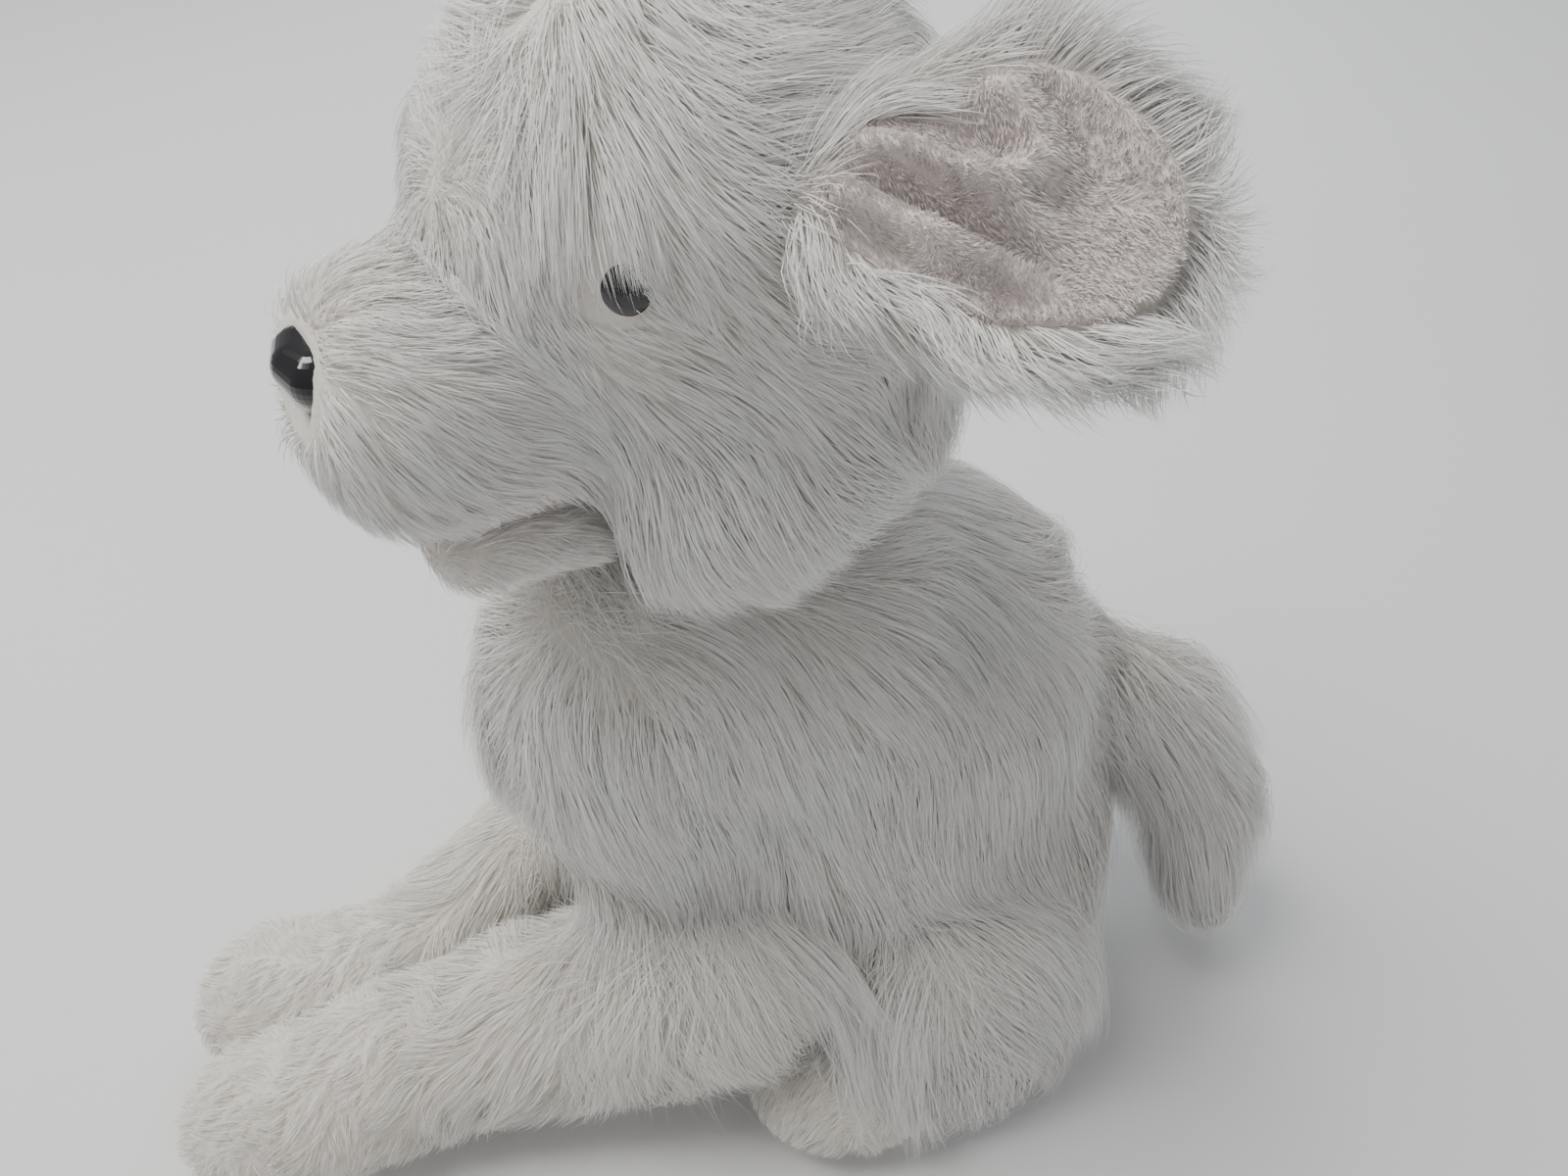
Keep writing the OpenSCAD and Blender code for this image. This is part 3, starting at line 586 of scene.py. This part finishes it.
def head_style(p, n):
    x, y, z = p.T
    side = np.abs(x)
    snout = smooth(y, -28, -44)
    crown = smooth(z, 70, 92) * (1 - snout)
    cheek = smooth(z, 50, 30) * smooth(side, 14, 26) * (1 - snout)
    nape = smooth(y, 18, 36) * smooth(z, 78, 60)
    lip = snout * smooth(z, 30, 18)
    comb = np.stack([np.sign(x) * (0.35 * crown + 0.12 * snout + 0.1),
                     1.0 + 0 * x,
                     -0.45 - 0.9 * cheek - 1.2 * nape - 0.25 * snout * smooth(side, 8, 20)
                     + 0.3 * crown - 2.2 * lip], -1)
    from_nose = p - NOSE_AT - [0, 4, 0]
    by_nose = smooth(np.linalg.norm(from_nose, axis=-1), 17, 9)
    comb = comb + (by_nose * 1.5)[:, None] * unit(from_nose * [1, 0.3, 1])
    brow = smooth(y, -8, -24) * smooth(z, 58, 76) * (1 - snout)
    comb = comb + brow[:, None] * np.array([0, -0.9, -0.5]) + HEAD_SWIRL(p) * (0.5 - 0.25 * snout)[:, None]
    length = 20 + 20 * cheek + 18 * nape + 2 * crown - 9 * snout + lip * (6 * smooth(y, -56, -42) - 6)
    length = length - 8 * smooth(y, -14, -30) * (1 - snout) * smooth(z, 84, 60) * smooth(z, 30, 50)
    near = np.min([np.linalg.norm(p - EYE_AT * [s, 1, 1], axis=-1) for s in (-1, 1)], axis=0)
    by_eye = smooth(near, 22, 9)
    lift = 0.30 + 0.12 * crown + 0.1 * cheek - 0.02 * snout + 0.5 * by_nose
    height = 7.5 - 3.0 * snout + 3 * cheek + 3.5 * crown + 3.5 * nape
    return style(length * (1 - 0.5 * by_eye), lift, comb, height * (1 - 0.75 * by_eye), HEAD_SWIRL,
                 droop=0.2 + 0.3 * lip)


def jaw_style(p, n):
    comb = np.tile([0.0, 0.9, -0.6], (len(p), 1)) + HEAD_SWIRL(p) * 0.4
    return style(np.full(len(p), 8.0), 0.35, comb, 3.2, HEAD_SWIRL)


def leg_style(leg):
    def look(p, n):
        x, y, z = p.T
        paw = smooth(y, -60, -92)
        upper = smooth(y, -40, 0)
        comb = np.stack([0 * x, -0.25 - 0.5 * (1 - paw) * (1 - upper) - 0.1 * paw, -0.8 + 0.4 * paw], -1)
        comb = comb + LEG_SWIRL(p) * 0.5 + upper[:, None] * np.array([np.sign(leg[0][0]) * 0.6, 0.6, 0])
        length = 19 - 12 * paw + 22 * upper
        height = 7.5 - 3.3 * paw + 2 * upper
        return style(length, 0.32 + 0.35 * paw, comb, height, LEG_SWIRL, droop=0.2, floor=TABLE)
    return look


def hind_style(p, n):
    x, y, z = p.T
    foot = hind_foot(p)
    comb = np.stack([np.sign(x) * 0.6 * (1 - foot), 0.35 - 0.55 * foot, -0.9 + 0.5 * foot], -1)
    comb = comb + LEG_SWIRL(p) * 0.4
    lift, height = 0.32 + 0.35 * foot, 10.0 - 6 * foot
    return style(52 - 45 * foot, lift, comb, height, LEG_SWIRL, droop=0.25, floor=TABLE)


def hind_foot(p):
    """1 on the short-piled foot, 0 on the thigh, whose long pile falls over it."""
    return smooth(p[:, 1], 80, 66) * smooth(p[:, 2], 48, 36)


def tail_style(p, n):
    comb = np.tile([0.12, 0.35, -1.0], (len(p), 1)) + TORSO_SWIRL(p) * 0.6
    return style(54 + 16 * smooth(p[:, 2], 80, 50), 0.35, comb, 14.0, TORSO_SWIRL, droop=0.4, floor=TABLE)


def off_the_face(paths, rng):
    """Keeps pile off the eyes, the nose and the tongue's tip, but for a few wisps over the eyes."""
    stays = np.ones(len(paths), bool)
    for c, r in ((EYE_OUT, 6.4), (NOSE_AT, 10.0), (NOSE_AT + [3, 0, 0], 11.5), (TONGUE_TIP, 8.5)):
        for side in (-1, 1):
            stays &= np.linalg.norm(paths[:, 1:] - c * [side, 1, 1], axis=-1).min(1) > r
    above_nose = paths[:, :, 1].min(1) > -50
    return stays | (above_nose & (rng.random(len(paths)) < 0.08))


TORSO_SWIRL, HEAD_SWIRL, LEG_SWIRL = Ripple(3, 55), Ripple(5, 38), Ripple(7, 30)

# ---------------------------------------------------------------- ears

EAR_ROOT = (42, 3, 79)
EAR_TURN = [33, -3.4, 43.8]
LINING_LOW = 2.6            # the lining never dips below this, to cover the ear's frame


def turn_xyz(degrees):
    """The axes that OpenSCAD's rotate([x, y, z]) gives, one to a row."""
    x, y, z = np.radians(degrees)
    cx, sx, cy, sy, cz, sz = np.cos(x), np.sin(x), np.cos(y), np.sin(y), np.cos(z), np.sin(z)
    rx = np.array([[1, 0, 0], [0, cx, -sx], [0, sx, cx]])
    ry = np.array([[cy, 0, sy], [0, 1, 0], [-sy, 0, cy]])
    rz = np.array([[cz, -sz, 0], [sz, cz, 0], [0, 0, 1]])
    return (rz @ ry @ rx).T


def ear_place(side):
    """The ear's own frame: X out along the leaf, Y up across it, Z out of its velour face."""
    axes, root = turn_xyz(EAR_TURN), np.array(EAR_ROOT, float)
    if side < 0:
        axes, root = axes * [-1, 1, 1], root * [-1, 1, 1]
    return Place(HEAD.out(root), axes @ HEAD.axes)


def ear_outline(x, y):
    """Distance from the leaf's outline in its own plane, negative inside."""
    blade = ball((37, 0, 0), (27, 26, 1e3))
    base = ball((14, -1, 0), (14, 14, 1e3))
    tip = ball((50, -3, 0), (15, 17, 1e3))
    return merged([blade, base, tip], 12)(np.stack([x, y, 0 * x], -1))


def ear_bend(x, y):
    """How far the leaf's middle surface rises: cupped, and rolled in at the base."""
    return 0.006 * (y * y) - 0.0035 * np.clip(x - 18, 0, None) ** 2 + 2.4 * np.exp(-((x - 6) / 9) ** 2)


def ear_folds(x, y):
    """Creases of the velour: two ridges from the base down to the edge, and a fold across the middle."""
    def crease(ax, ay, bx, by, high, wide):
        ax, ay, bx, by = (float(v) for v in (ax, ay, bx, by))
        dx, dy = bx - ax, by - ay
        t = np.clip(((x - ax) * dx + (y - ay) * dy) / (dx * dx + dy * dy), 0, 1)
        gap = np.hypot(x - ax - t * dx, y - ay - t * dy)
        return high * np.sin(np.pi * (0.15 + 0.85 * t)) * np.exp(-(gap / wide) ** 2)
    return (crease(5, -4, 44, -18, 10.0, 3.6) + crease(7, 7, 48, -9, 9.5, 3.4)
            - crease(8, 2, 46, -14, 3.0, 2.6) + crease(28, 20, 44, 4, 9.0, 3.8)
            + crease(44, 4, 28, -2, 7.0, 3.8) - crease(35, 11, 27, 2, 3.0, 5.0))


def ear_leaf(p):
    x, y, z = p[..., 0], p[..., 1], p[..., 2]
    edge = ear_outline(x, y)
    mid = np.abs(z + 1.0 - ear_bend(x, y)) - 3.0
    a, b = edge + 3.5, mid + 1.5
    out = np.hypot(np.maximum(a, 0), np.maximum(b, 0)) + np.minimum(np.maximum(a, b), 0)
    return out - 3.0


def ear_velour(p):
    """The lining: a padded velour sheet over the leaf's inner face."""
    x, y, z = p[..., 0], p[..., 1], p[..., 2]
    edge = ear_outline(x, y) + 4.0
    top = 4.8 + ear_bend(x, y) + ear_folds(x, y) * smooth(-edge, 0, 8)
    rise = z - np.logaddexp(2 * top, 2 * LINING_LOW) / 2
    return np.maximum(np.maximum(rise, 1.2 - z), edge) * 0.8


def ear_back_style(p, n):
    x, y, z = p.T
    rim = smooth(ear_outline(x, y), -8, -1)
    comb = np.stack([0.8 + 0 * x, y / 22, 0 * x], -1) + EAR_SWIRL(p) * 0.5
    comb = comb + rim[:, None] * np.array([0, 0, 0.25])
    return style(13 + 6 * rim, 0.45, comb, 6.5 + 6 * rim, EAR_SWIRL, droop=0.12,
                 down=turn_xyz(EAR_TURN) @ DOWN)


def velour_style(p, n):
    comb = np.tile([0.5, -0.6, 0.0], (len(p), 1)) + EAR_SWIRL(p * 1.5) * 0.8
    return style(np.full(len(p), 2.2), 0.75, comb, 1.2, EAR_SWIRL, droop=0.0)


EAR_SWIRL = Ripple(9, 26)

# ---------------------------------------------------------------- the puppy

STEP = 3.0

# the torso with its legs, blended so widely that the torso's pile falls over the tops of the legs
over_legs = merged([torso_form, left_hind, right_hind, left_leg, right_leg], 30)


def off_the_legs(p):
    return over_legs(p) > -9


torso_mesh = skin("torso_skin", torso_form, (-72, -52, -4), (72, 166, 208), STEP, TORSO, "torso",
                  ["torso_plush"], CLOTH)
pile("torso_fur", TORSO, "torso", WHITE_FUR, over_legs, torso_mesh, torso_style, 72000, 11,
     segments=6, width=0.26, clump=0.7, weight=lambda p: 1 - 0.85 * smooth(p[:, 2], 34, 20),
     keep=off_the_legs)
for side, name, form in ((1, "left", left_hind), (-1, "right", right_hind)):
    near, far = (48, 104) if side > 0 else (-104, -48)
    mesh = skin("hind_skin_" + name, form, (near, 16, -4), (far, 126, 84), STEP, TORSO,
                "torso", ["hind_leg_" + name], CLOTH)
    pile("hind_foot_fur_" + name, TORSO, "torso", CREAM_FUR, form, mesh, hind_style, 10000,
         21 + side, segments=3, weight=lambda p: 0.02 + hind_foot(p), keep=lambda p: hind_foot(p) > 0.5)
    pile("thigh_fur_" + name, TORSO, "torso", WHITE_FUR, form, mesh, hind_style, 12000,
         25 + side, clump=0.7, keep=lambda p: hind_foot(p) <= 0.5)
for name, form, leg in (("left", left_leg, LEFT_LEG), ("right", right_leg, RIGHT_LEG)):
    xs = [b[0] for b in leg]
    mesh = skin("foreleg_skin_" + name, form, (min(xs) - 30, -160, -4), (max(xs) + 30, 50, 84), STEP, TORSO,
                "foreleg_" + name, ["foreleg_%s_plush" % name], CLOTH)
    pile("foreleg_fur_" + name, TORSO, "foreleg_" + name, CREAM_FUR, form, mesh, leg_style(leg),
         26000, 31 + len(name), segments=3)
tail_mesh = skin("tail_skin", tail_form, (-20, 118, 16), (56, 200, 124), STEP, TORSO, "tail",
                 ["tail_plush"], CLOTH)
pile("tail_fur", TORSO, "tail", WHITE_FUR, tail_form, tail_mesh, tail_style, 13000, 41,
     segments=5, clump=0.8)
head_mesh = skin("head_skin", head_form, (-62, -92, -42), (62, 64, 118), STEP * 0.8, HEAD, "head",
                 ["head_plush"], CLOTH)
pile("head_fur", HEAD, "head", WHITE_FUR, head_form, head_mesh, head_style, 80000, 51,
     clump=0.55, clear=off_the_face)
jaw_mesh = skin("jaw_skin", jaw_form, (-26, -70, -20), (26, -14, 22), 2.0, HEAD, "jaw",
                ["jaw_plush"], CLOTH)
pile("jaw_fur", HEAD, "jaw", WHITE_FUR, jaw_form, jaw_mesh, jaw_style, 7000, 61, segments=3)
skin("mouth_lining_pad", lining_form, (-20, -70, 6), (20, -18, 26), 1.6, HEAD, "head",
     ["mouth_lining"], MOUTH_CLOTH)
skin("tongue_pad", tongue_form, (-15, -74, 0), (17, -28, 26), 1.2, HEAD, "jaw", ["tongue"],
     TONGUE_CLOTH)

for side, name in ((1, "left"), (-1, "right")):
    at = ear_place(side)
    mesh = skin("ear_skin_" + name, ear_leaf, (-4, -36, -26), (72, 34, 22), STEP * 0.7, at, "ear_" + name,
                ["ear_%s_plush" % name], CLOTH)
    outside = lambda p: ((p[:, 2] + 1.0 - ear_bend(p[:, 0], p[:, 1]) < 1.2)
                         | (ear_outline(p[:, 0], p[:, 1]) > -5))
    pile("ear_fur_" + name, at, "ear_" + name, WHITE_FUR, ear_leaf, mesh, ear_back_style, 17000,
         71 + side, clump=0.45, keep=outside)
    mesh = skin("ear_lining_pad_" + name, ear_velour, (-4, -34, -20), (70, 32, 30), 1.0,
                at, "ear_" + name, ["ear_%s_lining" % name], PINK_CLOTH)
    face = lambda p: slope(ear_velour, p)[:, 2] > 0.2
    pile("ear_velour_" + name, at, "ear_" + name, VELOUR, ear_velour, mesh, velour_style, 30000,
         81 + side, segments=2, width=0.3, clump=0.25, keep=face)

# ---------------------------------------------------------------- finishes of the parts that stay

slot_of = {}
for part in frame["record"]["subparts"]:
    slot_of[part["node"] if "node" in part else part["name"]] = part.get("material_slot") or part.get("slot")
for name, ob in frame["nodes"].items():
    ob.data.materials.clear()
    ob.data.materials.append(SLOT_FINISH.get(slot_of.get(name), CASE))

# ---------------------------------------------------------------- stage

bpy.ops.mesh.primitive_plane_add(size=6, location=(0, 0, 0))
floor = bpy.context.object
floor.name = "studio_floor"
m = Nodes("pale floor")
pale = m.ramp(m.noise(1.5), [(0.3, (0.80, 0.80, 0.80)), (0.7, (0.84, 0.84, 0.84))])
floor.data.materials.append(m.finish(pale, Roughness=0.9))

world = bpy.data.worlds.new("soft light")
bpy.context.scene.world = world
world.use_nodes = True
world.node_tree.nodes["Background"].inputs["Color"].default_value = (0.89, 0.90, 0.92, 1)
world.node_tree.nodes["Background"].inputs["Strength"].default_value = 0.36


def lamp(name, at, aim, size, watts, colour):
    light = bpy.data.lights.new(name, "AREA")
    light.shape, light.size, light.energy, light.color = "SQUARE", size, watts, colour
    ob = bpy.data.objects.new(name, light)
    bpy.context.scene.collection.objects.link(ob)
    ob.location = at
    ob.rotation_euler = (Vector(aim) - Vector(at)).to_track_quat("-Z", "Y").to_euler()


lamp("key", (-0.25, -0.6, 1.5), (0, 0, 0.12), 0.8, 23, (1.0, 0.985, 0.96))
lamp("window", (-1.1, 0.5, 1.1), (0, 0, 0.12), 1.2, 10, (0.93, 0.97, 1.0))
lamp("fill", (1.5, 0.5, 0.9), (0, 0, 0.12), 1.3, 2.5, (1.0, 0.98, 0.95))

EYE_POINT = Vector((0.218, -0.020, 0.390))
LOOK = Vector((-0.978 * 0.6947, 0.208 * 0.6947, -0.7193))
camera = bpy.data.cameras.new("camera")
camera.lens, camera.sensor_width, camera.clip_start = 27, 36, 0.01
cam = bpy.data.objects.new("camera", camera)
bpy.context.scene.collection.objects.link(cam)
cam.location = EYE_POINT
cam.rotation_euler = LOOK.to_track_quat("-Z", "Y").to_euler()
bpy.context.scene.camera = cam

bpy.context.view_layer.update()
